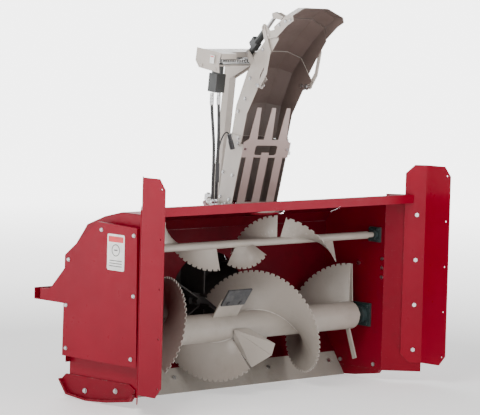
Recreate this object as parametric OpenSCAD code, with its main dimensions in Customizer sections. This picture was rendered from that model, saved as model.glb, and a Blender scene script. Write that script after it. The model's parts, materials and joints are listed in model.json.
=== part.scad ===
// Two stage snowblower: a wide intake with a large and a small auger, a fan behind it,
// and a tall turning chute with two hinged deflectors. Millimetres, +Z up, intake facing -Y.
// The origin is on the ground, below the middle of the machine.

/* [Intake housing] */
// Clear width between the two side plates
clear_w = 1844; // [1700:10:2000]
// Thickness of the side plates and cutters
plate_t = 6; // [4:1:8]
// Height of the front lip above the ground
lip_z = 1064; // [1040:2:1100]
// Height of the folded front lip
lip_h = 48; // [30:2:60]
// Bottom edge of the side plates
side_z = 60; // [50:5:80]

/* [Augers] */
// Outer radius of the large auger
auger_r = 295; // [270:5:300]
// Outer radius of its tube
tube_r = 78; // [60:1:90]
// Travel of the large flights along the shaft for each turn
flight_lead = 666; // [600:10:720]
// Outer radius of the small upper auger
top_auger_r = 140; // [110:5:145]
// Outer radius of the upper tube
top_tube_r = 21; // [18:1:26]
// Thickness of the flights
flight_t = 6; // [4:1:8]
// Depth of the notches in the flight rims
notch = 11; // [6:1:14]

/* [Fan] */
// Inner radius of the fan drum
drum_r = 404; // [400:1:410]
// Radius of the opening from the intake to the fan
throat_r = 285; // [240:5:290]

/* [Chute] */
// Forward tilt of the axis that the chute turns about, in degrees
tilt = 6; // [4:1:8]
// Rest direction of the chute, measured from straight ahead, in degrees
turn = -12; // [-14:1:0]
// Half of the chute's outer width
chute_w = 150; // [140:2:152]
// Wall thickness of the chute and deflectors
wall = 5; // [3:1:6]

/* [Running gear] */
// Radius of the large auger shaft and the jackshaft
shaft_r = 25; // [20:1:28]
// Radial running clearance in every bearing
fit = 0.05; // [0.02:0.01:0.1]

/* [Hidden] */
$fn = 48;

// Colours of the finishes
red = [0.72, 0.06, 0.12];
pale = [0.80, 0.78, 0.75];
steel = [0.62, 0.62, 0.63];
dark = [0.12, 0.12, 0.13];
black = [0.05, 0.05, 0.05];

half_w = clear_w / 2;          // inner face of a side plate
out_w = half_w + plate_t;      // outer face of a side plate
bend_y = -489;                 // plane where the drift cutters are bent
fold_y = bend_y + 171;         // fold between side plate and flare
rear_y = bend_y + 715;         // rear edge of the side plates
lip_y = bend_y + 50;           // front face of the lip
wall_y = bend_y + 640;         // front face of the back wall
drum_y = wall_y + 5.3;         // front face of the fan drum
drum_back = drum_y + 235;      // rear face of the fan drum
axle_y = bend_y + 325;         // large auger axis
axle_z = 367;
top_y = bend_y + 240;          // small auger axis
top_z = 828;
hub_z = 458;                   // fan and gearbox axis
cross_y = bend_y + 950;        // cross shaft and gearbox centre
jack_y = bend_y + 678;         // jackshaft axis
jack_z = 560;
pan_r = 315;                   // radius of the curved pan around the auger
pan_end = 138;                 // where the pan meets the scraper, degrees from the top
flare_dx = 151;                // flare run, sideways and forward
flare_dy = 165;
flare_l = norm([flare_dx, flare_dy]);
flare_run = [flare_dx, -flare_dy] / flare_l;
flare_in = [-flare_dy, -flare_dx] / flare_l;
flare_tip = [half_w + flare_dx, fold_y - flare_dy];
gap = 0.3;                     // free gap between separate sheets
chute_at = [372, bend_y + 760, 963];
guard_x = 985;                 // outer face of the chain guard
line_x1 = 944;                 // middle of the jackshaft chain
line_x2 = 965;                 // middle of the upper auger chain
seat = 14;                     // corner depth of the chute's faceted back is facet_k
facet_c = 75;
facet_k = 48;
pitch = 15.875;                // roller chain pitch

// Pivots of the deflector linkage in the chute's own (back, up) plane
defl_pivot = [-255, 735];
hood_pivot = [-344, 1023];
link_foot = [-300, 738];
link_head = [-289, 1055];
act_foot = [-92, 892];
act_head = [-318, 1128];
act_x = -112;
act_dir = atan2(act_head[1] - act_foot[1], act_head[0] - act_foot[0]);
act_len = norm(act_head - act_foot);

// ---- helpers ----

// Plate standing in a fore-and-aft plane: points are [y, z], from x to x + t
module side_sheet(points, x, t)
    translate([x, 0, 0]) rotate([90, 0, 90]) linear_extrude(t) polygon(points);

// Plate drawn from above: points are [x, y], from z to z + h
module plan_sheet(points, z, h)
    translate([0, 0, z]) linear_extrude(h) polygon(points);

// Cylinder along X from x0 to x1
module x_rod(r, x0, x1, y, z)
    translate([x0, y, z]) rotate([0, 90, 0]) cylinder(r = r, h = x1 - x0);

// Cylinder along Y from y0 to y1
module y_rod(r, y0, y1, x, z)
    translate([x, y0, z]) rotate([-90, 0, 0]) cylinder(r = r, h = y1 - y0);

// Copies on the left and on the right
module both_sides() for (s = [0, 1]) mirror([s, 0, 0]) children();

// Hexagon head with a shank, head towards +Z, seat at the origin
module bolt(r, shank) {
    cylinder(r = r * 1.75, h = r * 1.1, $fn = 6);
    translate([0, 0, -shank]) cylinder(r = r, h = shank);
}

// Tilted frame of the chute's turning axis, and the same turned with the chute
module chute_frame() translate(chute_at) rotate([tilt, 0, 0]) children();
module on_chute() chute_frame() rotate([0, 0, turn]) children();

// Triangles of a band swept through m rings of k points, with both ends closed
function band_faces(m, k) = concat(
    [[for (j = [0:k - 1]) j]],
    [[for (j = [k - 1:-1:0]) (m - 1) * k + j]],
    [for (i = [0:m - 2]) for (j = [0:k - 1])
        [i * k + j, (i + 1) * k + j, (i + 1) * k + (j + 1) % k]],
    [for (i = [0:m - 2]) for (j = [0:k - 1])
        [i * k + j, (i + 1) * k + (j + 1) % k, i * k + (j + 1) % k]]);

// Helical flight from angle a0 to a1 (0 is up, 90 is rearward), x moving by lead per turn
module flight(x0, a0, a1, lead, r_in, r_out, tooth) {
    n = round((a1 - a0) / tooth);
    step = (a1 - a0) / n;
    ring = [[0, 0], [0.5, 0], [0.6, 1], [0.9, 1]];
    stations = concat([for (i = [0:n - 1]) for (q = ring) [a0 + (i + q[0]) * step, q[1]]],
        [[a1, 0]]);
    points = [for (s = stations) let (a = s[0], x = x0 + lead * (a - a0) / 360,
            r = r_out - notch * s[1])
        for (c = [[0, r_in], [0, r], [flight_t, r], [flight_t, r_in]])
            [x + c[0], c[1] * sin(a), c[1] * cos(a)]];
    polyhedron(points, band_faces(len(stations), 4));
}

// One end section of a faceted channel: station is [back, up, section angle, front depth]
function section(s, w, t) = let (d = [cos(s[2]), sin(s[2])],
        flat = [[-w, -s[3]], [-w, 0], [-facet_c, facet_k], [facet_c, facet_k], [w, 0],
            [w, -s[3]], [w - t, -s[3]], [w - t, -0.3 * t], [facet_c - 0.3 * t, facet_k - t],
            [0.3 * t - facet_c, facet_k - t], [t - w, -0.3 * t], [t - w, -s[3]]])
    [for (q = flat) [q[0], s[0] + q[1] * d[0], s[1] + q[1] * d[1]]];

// Faceted channel, open at the front, through the given stations
module channel(stations, w, t) {
    m = len(stations);
    points = [for (s = stations) each section(s, w, t)];
    skin = [for (i = [0:m - 2]) for (j = [0:11])
        let (a = 12 * i + j, b = 12 * i + (j + 1) % 12) each [[a, b, b + 12], [a, b + 12, a + 12]]];
    ends = [for (j = [0:4]) each [[j, 11 - j, 10 - j, j + 1],
        [for (q = [j + 1, 10 - j, 11 - j, j]) 12 * (m - 1) + q]]];
    polyhedron(points, concat(skin, ends));
}

// Outline round two circles, as a taut belt would lie
module belt(p, rp, q, rq) {
    d = norm(q - p);
    a = atan2(q[1] - p[1], q[0] - p[0]);
    b = acos((rp - rq) / d);
    translate(p) circle(rp);
    translate(q) circle(rq);
    k = 0.9997; // just inside the circles, so that the outlines cross cleanly
    polygon([p + k * rp * [cos(a + b), sin(a + b)], p + k * rp * [cos(a - b), sin(a - b)],
        q + k * rq * [cos(a - b), sin(a - b)], q + k * rq * [cos(a + b), sin(a + b)]]);
}

function pitch_r(n) = pitch / (2 * sin(180 / n));

// Two rows of link plates round two sprockets, either side of the teeth
module chain(p, np, q, nq) {
    h = 5.8;
    for (z = [-7.5, 5])
        translate([0, 0, z]) linear_extrude(2.5) difference() {
            belt(p, pitch_r(np) + h, q, pitch_r(nq) + h);
            belt(p, pitch_r(np) - h, q, pitch_r(nq) - h);
        }
}

// Toothed disc centred on z = 0
module sprocket(n, bore) {
    r = pitch_r(n);
    translate([0, 0, -4]) linear_extrude(8) difference() {
        polygon([for (i = [0:n - 1]) for (c = [[-0.36, -4.3], [-0.14, 5], [0.14, 5], [0.36, -4.3]])
            (r + c[1]) * [cos(360 * (i + c[0]) / n), sin(360 * (i + c[0]) / n)]]);
        circle(bore);
    }
}

// Places its children in the plane of a side chain, [y, z] becoming the drawing plane
module side_plane(x) translate([x, 0, 0]) rotate([90, 0, 90]) children();

// Round tube through the given points, swept with sides corners
module tube(path, r, sides = 8) {
    m = len(path);
    function along(i) = let (d = path[min(i + 1, m - 1)] - path[max(i - 1, 0)]) d / norm(d);
    points = [for (i = [0:m - 1]) let (t = along(i),
            u = let (c = cross(t, [0, 1, 0.02])) c / norm(c), v = cross(t, u))
        for (j = [0:sides - 1])
            path[i] + r * (u * cos(360 * j / sides) + v * sin(360 * j / sides))];
    polyhedron(points, band_faces(m, sides));
}

// ---- intake housing ----

side_outline = [[fold_y, side_z], [fold_y, lip_z - lip_h - gap], [bend_y + 330, 1015.7],
    [bend_y + 460, 984.7], [bend_y + 600, 929.5], [bend_y + 690, 818], [rear_y, 760],
    [rear_y, 110], [bend_y + 660, side_z]];

// Side plate with its flare, drawn on the right
module side_plate() {
    difference() {
        side_sheet(side_outline, half_w, plate_t);
        x_rod(44, half_w - 1, out_w + 1, axle_y, axle_z);
        x_rod(30, half_w - 1, out_w + 1, top_y, top_z);
        x_rod(19, half_w - 1, out_w + 1, jack_y, jack_z);
    }
    n = plate_t * [flare_dy, flare_dx] / flare_l;
    plan_sheet([[half_w, fold_y], [half_w + flare_dx, fold_y - flare_dy],
        [half_w + flare_dx, fold_y - flare_dy] + n, [out_w, fold_y + 2.3]],
        side_z, lip_z - side_z);
    // stiffening flange along the rear edge
    translate([out_w, rear_y - 4, 190]) cube([32, 4, 540]);
}

module right_side_plate() color(red) side_plate();

module left_side_plate() color(red) mirror([1, 0, 0]) side_plate();

module top_hood() color(red) difference() {
    t = 5;
    w = half_w - gap;
    z = lip_z - lip_h;
    lean = flare_dx / flare_dy;
    reach = (fold_y - lip_y) * lean;
    union() {
        // flat top, sloping rear and the seam to the back wall
        side_sheet([[fold_y, z], [bend_y + 330, z], [bend_y + 460, 985], [bend_y + 600, 930],
            [wall_y, 874], [wall_y + 5, 880.5], [bend_y + 603, 936], [bend_y + 462, 990],
            [bend_y + 330, z + t], [fold_y, z + t]], -w, 2 * w);
        // front apron between the flares
        plan_sheet([[-w, fold_y], [-w - reach, lip_y], [w + reach, lip_y], [w, fold_y]], z, t);
        // folded lip with its return
        plan_sheet([[-w - reach, lip_y], [t * lean - w - reach, lip_y + t],
            [w + reach - t * lean, lip_y + t], [w + reach, lip_y]], z, lip_h);
        plan_sheet([[-w - reach, lip_y], [22 * lean - w - reach, lip_y + 22],
            [w + reach - 22 * lean, lip_y + 22], [w + reach, lip_y]], lip_z - t, t);
    }
    // room for the legs of the drift cutters
    both_sides() plan_sheet([flare_tip - flare_run * 120, flare_tip - flare_run * 120 + flare_in * 7,
        flare_tip + flare_run * 10 + flare_in * 7, flare_tip + flare_run * 10], 900, 300);
    // seat for the chute's base ring and its clips
    chute_frame() translate([0, 0, -14]) cylinder(r = 232, h = 30);
    chute_frame() translate([0, 0, 5]) cylinder(r = 246, h = 60);
}

// Point of the curved pan at angle a from the top, [y, z]
function on_pan(r, a) = [axle_y + r * sin(a), axle_z + r * cos(a)];

module back_sheet() color(red) {
    w = half_w - gap;
    steps = 12;
    arc = [for (i = [0:steps]) 90 + (pan_end - 90) * i / steps];
    difference() {
        side_sheet(concat([[wall_y, 873.5]], [for (a = arc) on_pan(pan_r, a)],
            [for (i = [steps:-1:0]) on_pan(pan_r + 5, arc[i])], [[wall_y + 5, 873.5]]),
            -w, 2 * w);
        y_rod(throat_r, bend_y + 400, drum_y + 1, 0, hub_z);
    }
}

// Lower edge of the pan, where the scraper starts
scrape_top = [axle_y + (pan_r + 5.3) * sin(pan_end - 4), axle_z + (pan_r + 5.3) * cos(pan_end - 4)];
scrape_low = [bend_y + 458, 6];

module scraper_blade() color(pale) {
    d = (scrape_top - scrape_low) / norm(scrape_top - scrape_low);
    n = 10 * [d[1], -d[0]];
    difference() {
        side_sheet([scrape_low, scrape_low + n * 0.6, scrape_top + n, scrape_top],
            -half_w + 1, clear_w - 2);
        y_rod(throat_r + 6.5, bend_y + 400, drum_y + 1, 0, hub_z);
    }
}

bolt_rows = [185, 440, 695, 950];
scrape_tilt = atan2(scrape_top[1] - scrape_low[1], scrape_top[0] - scrape_low[0]);

module plate_bolts() color(steel) {
    // drift cutter bolts on the flares
    both_sides() for (z = bolt_rows)
        translate([flare_tip[0], flare_tip[1], z])
            rotate([0, 0, atan2(flare_in[1], flare_in[0])]) rotate([0, 90, 0])
                translate([0, -47, plate_t + 0.6]) bolt(7, 0.1);
    // three bolts by each fold
    both_sides() for (z = [589, 642, 694])
        translate([half_w - 0.2, fold_y + 14, z]) rotate([0, -90, 0]) bolt(6, 0.1);
    // skid and pan bolts inside the side plates
    both_sides() for (p = [[229, 88], [489, 88], [367, 655]])
        translate([half_w - 0.2, bend_y + p[0], p[1]]) rotate([0, -90, 0]) bolt(7, 0.1);
    // scraper bolts
    for (x = [-840:240:840])
        translate([x, (scrape_top[0] + scrape_low[0]) / 2, (scrape_top[1] + scrape_low[1]) / 2])
            rotate([scrape_tilt, 0, 0]) translate([0, 6, 0.2]) bolt(7, 0.1);
}

// Front edge profile of a drift cutter, [y, z]
cutter_low = 111;
cutter_high = 1232;
cutter_side = [[bend_y - 173, cutter_low + 54], [bend_y - 128, cutter_low],
    [bend_y + 50, cutter_low], [bend_y + 88, cutter_low + 48], [bend_y + 88, cutter_high - 48],
    [bend_y + 50, cutter_high], [bend_y - 128, cutter_high], [bend_y - 173, cutter_high - 54]];

module drift_cutter() {
    a = flare_tip + flare_in * 0.2;
    b = a + flare_in * plate_t;
    difference() {
        intersection() {
            plan_sheet([a - flare_run * 117, b - flare_run * 117, b, [half_w + 148, bend_y - 14],
                [half_w + 152, bend_y - 173], [half_w + 152 + plate_t, bend_y - 173],
                [half_w + 152 + plate_t, bend_y - 6], a + flare_run * 4], 0, cutter_high);
            side_sheet(cutter_side, half_w, 200);
        }
        // row of adjustment holes near the front edge
        for (z = [160, 415, 670, 925, 1180])
            x_rod(5.5, half_w + 100, half_w + 200, bend_y - 148, z);
    }
}

module right_drift_cutter() color(red) drift_cutter();

module left_drift_cutter() color(red) mirror([1, 0, 0]) drift_cutter();

// Skid shoe on the outside of the right side plate
module skid_shoe() {
    side_sheet([[-308, 80], [-276, 46], [-100, 20], [64, 6], [222, 24], [281, 94], [246, 124],
        [-262, 126], [-304, 104]], out_w + gap, 8);
    // turned out sole along the lower edge
    side_sheet([[-313, 76], [-282, 37], [-102, 11], [64, 0], [228, 15], [291, 92], [280, 96],
        [221, 26], [64, 11], [-98, 23], [-274, 50], [-304, 84]], out_w + gap, 26);
}

module right_skid_shoe() color(red) skid_shoe();

module left_skid_shoe() color(red) mirror([1, 0, 0]) skid_shoe();

// ---- fan and drive line ----

// Solid that the discharge neck is cut from, grown by g
module neck_solid(g) {
    low = [[110 - g, drum_y - g + 5], [410 + g, drum_y - g + 5],
        [410 + g, drum_back + g - 5], [110 - g, drum_back + g - 5]];
    high = [[232 - g, drum_y - g + 5], [512 + g, drum_y - g + 5],
        [512 + g, drum_back + g - 5], [232 - g, drum_back + g - 5]];
    polyhedron(concat([for (p = low) [p[0], p[1], hub_z]], [for (p = high) [p[0], p[1], 1010]]),
        [[0, 1, 2], [0, 2, 3], [6, 5, 4], [7, 6, 4], [0, 4, 5], [0, 5, 1], [1, 5, 6], [1, 6, 2],
        [2, 6, 7], [2, 7, 3], [3, 7, 4], [3, 4, 0]]);
}

module fan_housing() color(red) difference() {
    union() {
        y_rod(drum_r + 6, drum_y, drum_back, 0, hub_z);
        y_rod(throat_r + 6, axle_y + 150, drum_y + 1, 0, hub_z);
    }
    y_rod(drum_r, drum_y + 5, drum_back - 6, 0, hub_z);
    y_rod(throat_r, axle_y, drum_y + 6, 0, hub_z);
    y_rod(60, drum_back - 7, drum_back + 1, 0, hub_z);
    x_rod(pan_r + 6.2, -500, 500, axle_y, axle_z);
    translate([-500, wall_y - 300, axle_z]) cube([1000, 305.15, 600]);
    neck_solid(0.2);
}

module discharge_neck() color(red) difference() {
    neck_solid(0);
    neck_solid(-5);
    y_rod(drum_r + 6.3, drum_y - 20, drum_back + 20, 0, hub_z);
    chute_frame() translate([-400, -400, -gap]) cube([800, 800, 300]);
}

module chute_base_ring() color(red) chute_frame() difference() {
    union() {
        cylinder(r = 230, h = 8);
        // ear that carries the foot of the mast
        translate([mast_at[0] - 24, 190, 0]) cube([98, mast_at[1] - 190 + 74, 8]);
        cylinder(r = 156, h = 20);
    }
    intersection() {
        translate([0, 0, -1]) cylinder(r = 150, h = 22);
        translate([-136, -99, -1]) cube([272, 214, 22]);
    }
    translate([0, 0, 8]) cylinder(r = 150, h = 13);
}

module ring_clips() color(red) chute_frame() for (a = [20, 110, 200, 290]) rotate([0, 0, a]) {
    translate([216, -22, 8.2]) cube([22, 44, 34]);
    translate([200, -22, 29]) cube([16, 44, 13]);
    translate([227, 0, 42.2]) bolt(6, 0.1);
}

module fan_impeller() color(pale) {
    y_rod(48, drum_y + 95, drum_back - 12, 0, hub_z);
    y_rod(20, drum_y + 78, drum_y + 95, 0, hub_z);
    translate([0, drum_y + 78, hub_z]) rotate([90, 0, 0]) cylinder(r = 16, h = 12, $fn = 6);
    y_rod(drum_r - 12, drum_back - 22, drum_back - 12, 0, hub_z);
    y_rod(shaft_r, drum_back - 12, drum_back + 24, 0, hub_z);
    for (i = [0:5]) translate([0, 0, hub_z]) rotate([0, 60 * i, 0]) {
        translate([-4, drum_y + 22, 44]) cube([8, drum_back - drum_y - 40, drum_r - 12 - 44]);
        translate([-30, drum_y + 22, drum_r - 60]) rotate([0, 25, 0])
            cube([8, drum_back - drum_y - 40, 36]);
    }
}

module gearbox() color(dark) difference() {
    union() {
        translate([-85, cross_y - 62, hub_z - 78]) cube([170, 110, 156]);
        y_rod(62, drum_back + gap, cross_y + 49, 0, hub_z);
        x_rod(50, -112, 85, cross_y, hub_z);
        translate([0, cross_y, hub_z + 78]) cylinder(r = 14, h = 12, $fn = 6);
        // foot bolted to the drum
        translate([-120, drum_back + gap, hub_z - 110]) cube([240, 22, 40]);
        translate([-60, drum_back + gap, hub_z - 90]) cube([120, cross_y - drum_back - 30, 20]);
    }
    y_rod(shaft_r + fit, drum_back - 1, drum_back + 26, 0, hub_z);
    y_rod(17.45 + fit, cross_y + 20, cross_y + 50, 0, hub_z);
    x_rod(18 + fit, -113, -70, cross_y, hub_z);
}

module pto_shaft() color(steel) {
    stub_end = 662;
    // shoulder that the tractor's yoke stops against
    y_rod(21, cross_y + 50, cross_y + 58, 0, hub_z);
    difference() {
        y_rod(17.45, cross_y + 22, stub_end, 0, hub_z);
        for (i = [0:5]) translate([0, 0, hub_z]) rotate([0, 60 * i + 30, 0])
            translate([-4.4, stub_end - 66, 14.8]) cube([8.8, 67, 6]);
    }
}

module cross_shaft() color(steel) {
    x_rod(18, -500, -72, cross_y, hub_z);
    side_plane(-470) translate([cross_y, hub_z]) sprocket(10, 17);
}

module primary_chain() color(dark)
    side_plane(-470) chain([jack_y, jack_z], 10, [cross_y, hub_z], 9.999);

module jackshaft() color(steel) {
    x_rod(15, -line_x1 - 14, -430, jack_y, jack_z);
    side_plane(-470) translate([jack_y, jack_z]) sprocket(10, 14);
    side_plane(-line_x1) translate([jack_y, jack_z]) sprocket(10, 14);
}

module auger_chains() color(dark) {
    side_plane(-line_x1) chain([axle_y, axle_z], 30, [jack_y, jack_z], 10);
    side_plane(-line_x2) chain([axle_y, axle_z], 18, [top_y, top_z], 15);
}

module main_auger_sprockets() color(steel) {
    side_plane(-line_x1) translate([axle_y, axle_z]) sprocket(30, shaft_r + fit);
    side_plane(-line_x2) translate([axle_y, axle_z]) sprocket(18, shaft_r + fit);
}

module upper_auger_sprocket() color(steel)
    side_plane(-line_x2) translate([top_y, top_z]) sprocket(15, 15 + fit);

module chain_tensioner() color(steel) {
    y = bend_y + 536;
    side_sheet([[y - 19, 382], [y + 20, 380], [y + 48, 342], [y + 12, 330]], -out_w - 7, 6.5);
    x_rod(16, -line_x1 - 10, -out_w - 6.9, y, 396.5);
}

// Outline of the chain guard, [y, z], shrunk by g with the bottom left open
function guard_outline(g, low) = [[bend_y + 122 + g, low], [bend_y + 139 + g, 953 - g],
    [bend_y + 164, 955 - g], [bend_y + 446, 964 - g], [bend_y + 707 - g, 767 - g / 2],
    [bend_y + 714 - g, low]];

module chain_guard() color(red) difference() {
    side_sheet(guard_outline(0, 228), -guard_x, guard_x - out_w - 32.6);
    side_sheet(guard_outline(3, 200), -guard_x + 3, guard_x);
    // the front follows the flare
    plan_sheet([[-out_w, fold_y + 11], [-guard_x - 20, bend_y + 96], [-guard_x - 20, bend_y],
        [-out_w, bend_y]], 0, 1200);
}

// Four-bolt flange bearing on the inner face of the right side plate
module flange_bearing(y, z, half, r, reach) difference() {
    union() {
        translate([half_w - 15.3, y - half, z - half]) cube([15, 2 * half, 2 * half]);
        x_rod(half * 0.72, half_w - reach, half_w - 14, y, z);
        for (a = [-1, 1]) for (b = [-1, 1])
            translate([half_w - 15, y + a * half * 0.72, z + b * half * 0.72]) rotate([0, -90, 0])
                cylinder(r = 9, h = 10, $fn = 6);
    }
    x_rod(r, half_w - reach - 1, half_w + 1, y, z);
}

module flange_bearings() color(dark) {
    both_sides() flange_bearing(axle_y, axle_z, 66, shaft_r + fit, 46);
    both_sides() flange_bearing(top_y, top_z, 42, 15 + fit, 34);
    // jackshaft bearings: on the side plate and on the bracket by the fan drum
    difference() {
        union() {
            translate([-half_w + gap, wall_y + 6, jack_z - 34]) cube([20, 68, 68]);
            translate([-448 + 4, wall_y + 6, jack_z - 34]) cube([16, 68, 68]);
        }
        x_rod(15 + fit, -half_w - 1, -400, jack_y, jack_z);
    }
    // outer bearing of the cross shaft
    difference() {
        translate([-504, cross_y - 30, hub_z - 30]) cube([20, 68, 66]);
        x_rod(18 + fit, -506, -480, cross_y, hub_z);
    }
}

// ---- augers ----

tube_end = 816;

module main_auger_tube() color(pale) {
    difference() {
        x_rod(tube_r, -tube_end, tube_end, axle_y, axle_z);
        x_rod(tube_r - 6, -tube_end + 8, tube_end - 8, axle_y, axle_z);
    }
    x_rod(shaft_r, -line_x2 - 8, -tube_end + 0.1, axle_y, axle_z);
    x_rod(shaft_r, tube_end - 0.1, half_w + 4, axle_y, axle_z);
}

module at_auger() translate([0, axle_y, axle_z]) children();

flight_in = tube_r + 0.12;

module main_flight_left() color(pale) at_auger()
    flight(-812, 234, 584, flight_lead, flight_in, auger_r, 6);

module main_flight_right() color(pale) at_auger()
    flight(804, 0, 425, -735, flight_in, auger_r, 6);

// Radial plate on the large tube at angle a, from x0 to x1
module paddle(a, x0, x1, r0, r1, t)
    at_auger() rotate([-a, 0, 0]) translate([x0, -t / 2, r0]) cube([x1 - x0, t, r1 - r0]);

module kick_paddles() color(pale) difference() {
    union() {
        paddle(325, -300, -120, tube_r + 0.3, 205, 8);
        paddle(145, 40, 220, tube_r + 0.3, 205, 8);
    }
    for (x = [-255, -165]) paddle_hole(325, x);
    for (x = [85, 175]) paddle_hole(145, x);
}

// Bolt hole through a paddle and its tip
module paddle_hole(a, x)
    at_auger() rotate([-a, 0, 0]) translate([x, 0, 186]) rotate([90, 0, 0])
        cylinder(r = 6.5, h = 60, center = true);

module paddle_tips() color(dark) {
    difference() {
        union() {
            at_auger() rotate([-325, 0, 0]) translate([-296, -14.3, 168]) cube([172, 10, 108]);
            at_auger() rotate([-145, 0, 0]) translate([44, -14.3, 168]) cube([172, 10, 108]);
        }
        for (x = [-255, -165]) paddle_hole(325, x);
        for (x = [85, 175]) paddle_hole(145, x);
    }
    for (p = [[325, -255], [325, -165], [145, 85], [145, 175]])
        at_auger() rotate([-p[0], 0, 0]) translate([p[1], -14.5, 186]) rotate([90, 0, 0])
            bolt(6, 0.1);
}

// Plate between two edges, given by its four corners and a thickness vector
module skew_plate(c, v) polyhedron(concat(c, [for (p = c) p + v]),
    [[0, 1, 2], [0, 2, 3], [6, 5, 4], [7, 6, 4], [0, 4, 5], [0, 5, 1], [1, 5, 6], [1, 6, 2],
        [2, 6, 7], [2, 7, 3], [3, 7, 4], [3, 4, 0]]);

// Wedge of two plates in front of the tube that throws snow both ways
module splitter_paddle() color(pale) at_auger() {
    root = [-178, -92, -6];
    tip = [22, -182, -150];
    skew_plate([root, [-78, -92, -4], [28, -200, -84], tip], [2, 7, -3]);
    skew_plate([root + [0, 2, -1], tip + [0, 2, -1], [-58, -110, -218], [-148, -64, -92]],
        [5, 6, 0]);
}

module sweeper_bars() color(pale) {
    // narrow plates that close the outer ends of the flights
    paddle(3, 812, 818, tube_r + 0.3, auger_r - 4, 46);
    paddle(200, 770, 782, tube_r + 0.3, 250, 24);
    paddle(20, -782, -770, tube_r + 0.3, 250, 24);
}

module upper_auger_tube() color(pale) {
    x_rod(top_tube_r, -846, 846, top_y, top_z);
    x_rod(15, -line_x2 - 8, -845.9, top_y, top_z);
    x_rod(15, 845.9, half_w + 4, top_y, top_z);
}

module upper_flights() color(pale) translate([0, top_y, top_z]) {
    r = top_tube_r + 0.12;
    flight(-720, -10, 195, 685, r, top_auger_r, 10);
    flight(128, 0, 120, -685, r, top_auger_r, 10);
    flight(-171, 150, 246, 372, r, top_auger_r, 12);
    flight(560, 196, 340, -1020, r, top_auger_r, 12);
}

// ---- rear frame and hitch ----

module rear_frame() color(red) {
    y1 = bend_y + 1000;
    // U channel across the machine
    difference() {
        translate([-900, y1, 492]) cube([1800, 56, 62]);
        translate([-901, y1 + 6, 498]) cube([1802, 44, 57]);
    }
    // side arms with sloping gussets
    both_sides() side_sheet([[rear_y + 1, 492], [rear_y + 1, 730], [bend_y + 790, 700],
        [bend_y + 925, 560], [y1 - gap, 556], [y1 - gap, 492]], half_w - 28, 6);
    both_sides() translate([half_w - 28, rear_y + 1, 486]) cube([34, 20, 230]);
    // bracket that carries the outer end of the cross shaft
    translate([-504, cross_y + 38.3, hub_z - 30]) cube([20, y1 - cross_y - 38.3 + 6, 96]);
}

hitch_pin_y = bend_y + 1098;
hitch_pin_z = 400;
link_x = 412.5;

module hitch_frame() color(red) {
    y1 = bend_y + 1056.3;
    // lower link brackets in pairs, 825 apart between their middles
    both_sides() for (x = [link_x - 74, link_x - 40]) difference() {
        side_sheet([[y1, 360], [y1, 560], [y1 + 20, 560], [y1 + 78, 430], [y1 + 78, 372],
            [y1 + 66, 360]], x, 10);
        x_rod(14.4, x - 1, x + 11, hitch_pin_y, hitch_pin_z);
    }
    // upright mast plates for the top link
    for (x = [-50, 40]) difference() {
        side_sheet([[y1, 500], [y1, 860], [y1 + 6, 915], [y1 + 60, 915], [y1 + 60, 860],
            [y1 + 40, 500]], x, 10);
        x_rod(12.9, x - 1, x + 11, bend_y + 1086, hitch_pin_z + 483);
    }
    // braces from the mast down to the channel
    both_sides() skew_plate([[50.2, y1 + 2, 780], [50.2, y1 + 2, 840], [398, y1 + 2, 560.3],
        [338, y1 + 2, 560.3]], [0, 10, 0]);
}

module hitch_pins() color(steel) {
    both_sides() difference() {
        union() {
            x_rod(14.3, link_x - 76, link_x + 56, hitch_pin_y, hitch_pin_z);
            x_rod(20, link_x - 80, link_x - 74.2, hitch_pin_y, hitch_pin_z);
            x_rod(20, link_x - 29.8, link_x - 24, hitch_pin_y, hitch_pin_z);
        }
        translate([link_x + 46, hitch_pin_y, hitch_pin_z]) cylinder(r = 4, h = 60, center = true);
    }
    x_rod(12.7, -66, 74, bend_y + 1086, hitch_pin_z + 483);
    x_rod(18, -72, -66, bend_y + 1086, hitch_pin_z + 483);
}

// ---- chute ----

module chute_turntable() color(pale) chute_frame() difference() {
    translate([0, 0, 8.3]) cylinder(r = 213, h = 18);
    translate([0, 0, 7]) cylinder(r = 158, h = 13.4);
    rotate([0, 0, turn]) intersection() {
        translate([0, 0, 7]) cylinder(r = 154, h = 30);
        translate([-144, -160, 7]) cube([288, 262, 30]);
    }
}

lower_stations = [[38, 26.6, 0, 148], [2, 400, 5, 176]];
upper_stations = [[-38, 404, 8, 112], [-60, 590, 14, 122], [-140, 790, 30, 146],
    [-215, 885, 40, 172]];

module lower_chute() color(pale) on_chute() {
    channel(lower_stations, chute_w, wall);
    // splice plates to the upper chute, and tabs that the lattice bolts to
    both_sides() {
        translate([chute_w + gap, -150, 372]) cube([6, 120, 58]);
        translate([chute_w - 0.1, -150, 372]) cube([1, 120, 13]);
        lattice_plane() translate([chute_w - 30, -1.2, 325]) cube([26, 5, 50]);
    }
}

module lattice_plane() translate([0, -110, 20]) rotate([10.2, 0, 0]) children();

module chute_lattice() color(pale) on_chute() lattice_plane()
    translate([0, -4, 0]) rotate([90, 0, 0]) linear_extrude(5, center = true) {
        for (x = [-96, 0, 96]) {
            translate([x - 24, 8]) square([48, 320]);
            polygon([[x - 28, 380], [x + 28, 380], [x + 12, 592], [x - 12, 592]]);
        }
        translate([-124, 8]) square([248, 26]);
        difference() {
            polygon([[-153, 300], [153, 300], [153, 388], [124, 404], [-124, 404], [-153, 388]]);
            translate([-58, 313]) square([116, 58]);
            for (x = [-58, 58]) translate([x, 342]) circle(r = 14);
            translate([-72, 327]) square([144, 30]);
            for (x = [-58, 58]) for (z = [327, 357]) translate([x, z]) circle(r = 14);
            for (x = [-138, 138]) translate([x, 350]) circle(r = 5.5);
        }
    }

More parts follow.
